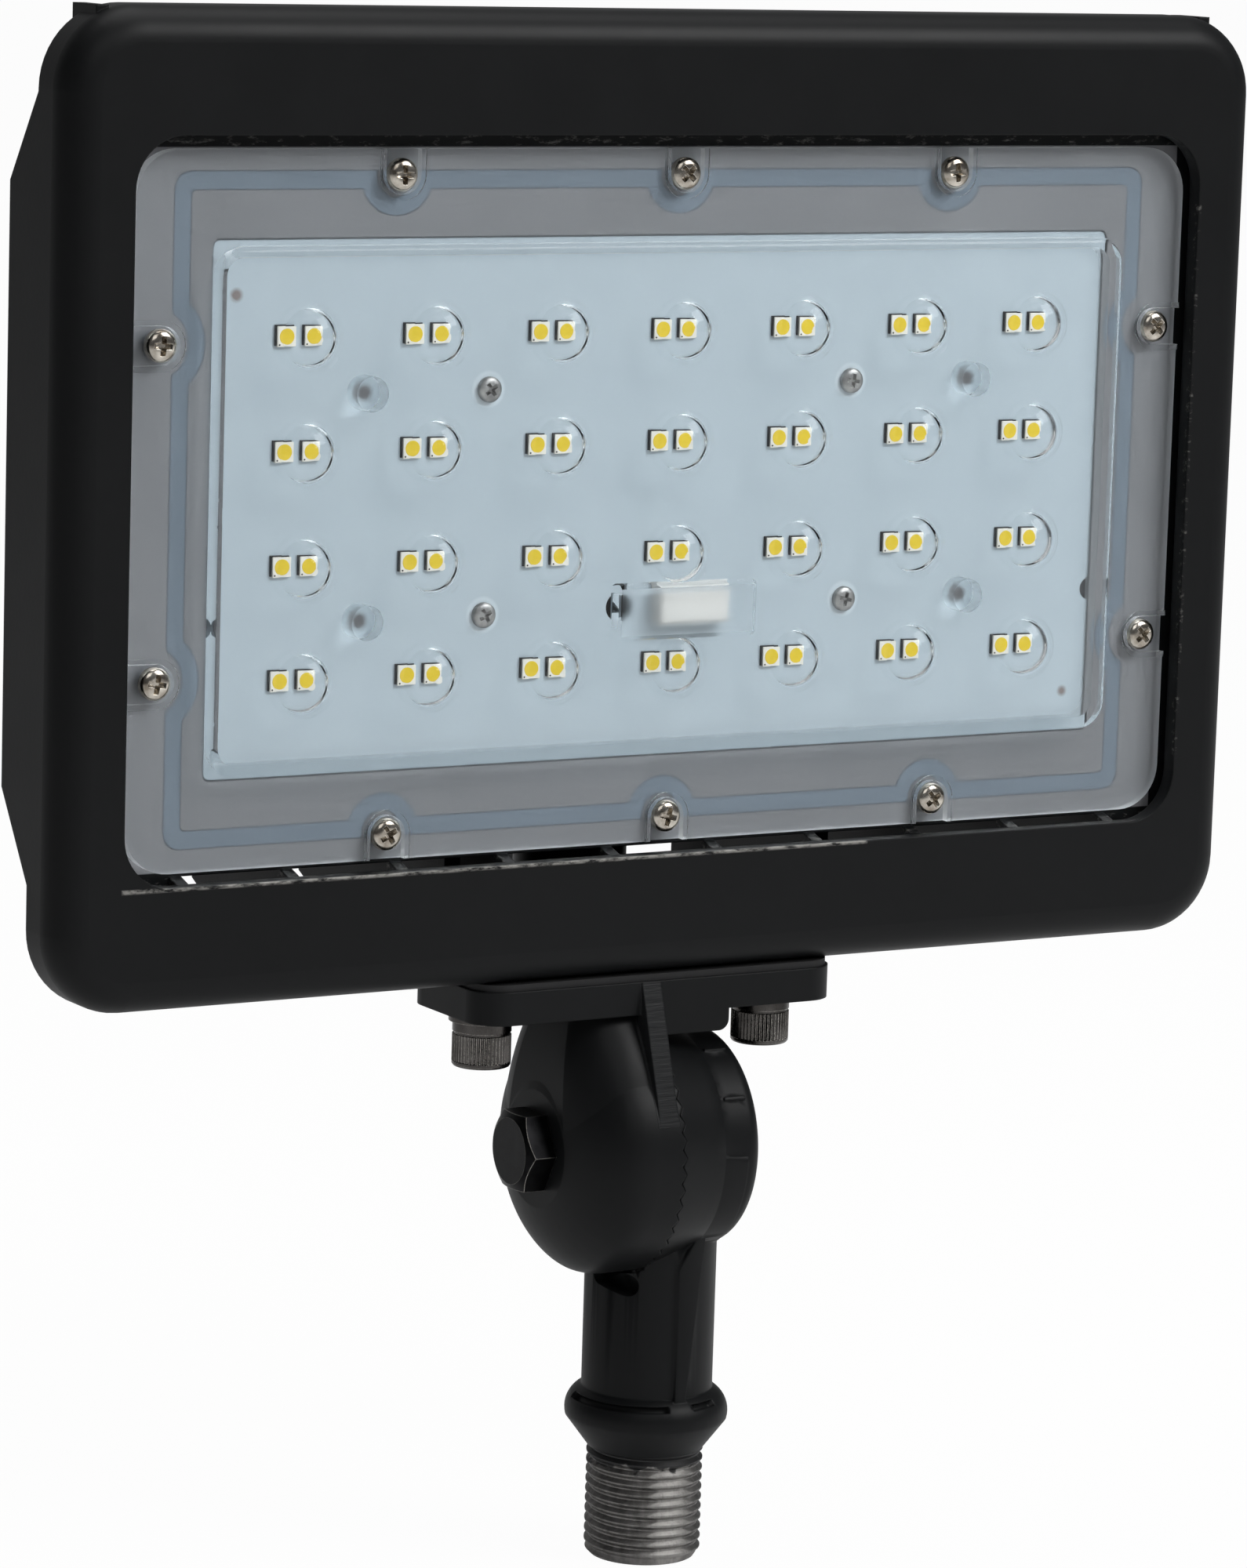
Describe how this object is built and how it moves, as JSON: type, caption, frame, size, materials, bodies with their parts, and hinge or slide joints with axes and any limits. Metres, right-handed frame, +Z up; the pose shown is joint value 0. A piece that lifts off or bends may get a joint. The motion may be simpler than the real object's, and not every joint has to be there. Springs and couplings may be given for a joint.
{
  "type": "led flood light",
  "caption": "Rectangular flood light with a finned housing and a domed clear lens, tilting on a toothed knuckle with a threaded stem.",
  "frame": {"origin": "on the axis of the threaded stem, at the shoulder where the thread meets the collar", "axes": "+Z up along the stem, -Y the way the light shines at rest, +X to the right as seen from the front"},
  "size_m": [0.236, 0.0489, 0.2759],
  "materials": {
    "powder_coat": "satin powder coat",
    "clear_lens": "clear moulded polycarbonate",
    "solder_mask": "pale solder mask on an aluminium board",
    "led_package": "ivory package with yellow phosphor",
    "white_plastic": "moulded nylon",
    "grey_silicone": "silicone",
    "black_rubber": "rubber",
    "nickel_plate": "nickel plated",
    "dark_steel": "black oxide steel",
    "driver_case": "painted aluminium can"
  },
  "bodies": {
    "stem": {"lower_arm": "powder_coat", "knuckle_seal": "black_rubber"},
    "head": {"housing": "powder_coat", "driver_cover": "powder_coat", "driver_cover_gasket": "black_rubber", "driver_cover_screws": "nickel_plate", "led_driver": "driver_case", "driver_screws": "nickel_plate", "ground_screw": "nickel_plate", "wire_grommet": "black_rubber", "led_board": "solder_mask", "led_packages": "led_package", "board_connector": "white_plastic", "board_screws": "nickel_plate", "optic_lens": "clear_lens", "lens_gasket": "grey_silicone", "lens_screws": "nickel_plate", "upper_arm": "powder_coat", "flange_gasket": "black_rubber", "flange_screws": "dark_steel", "flange_spring_washers": "dark_steel", "flange_flat_washers": "dark_steel"},
    "clamp_bolt": {"pivot_bolt": "dark_steel"}
  },
  "joints": [
    {"name": "knuckle_tilt", "type": "hinge", "parent": "stem", "child": "head", "pos_m": [-0.0073, 0, 0.0562], "axis": [1, 0, 0], "range_deg": [-90, 90]},
    {"name": "clamp_bolt_turn", "type": "hinge", "parent": "stem", "child": "clamp_bolt", "pos_m": [-0.0073, 0, 0.0562], "axis": [1, 0, 0], "range_deg": [-180, 0]}
  ]
}
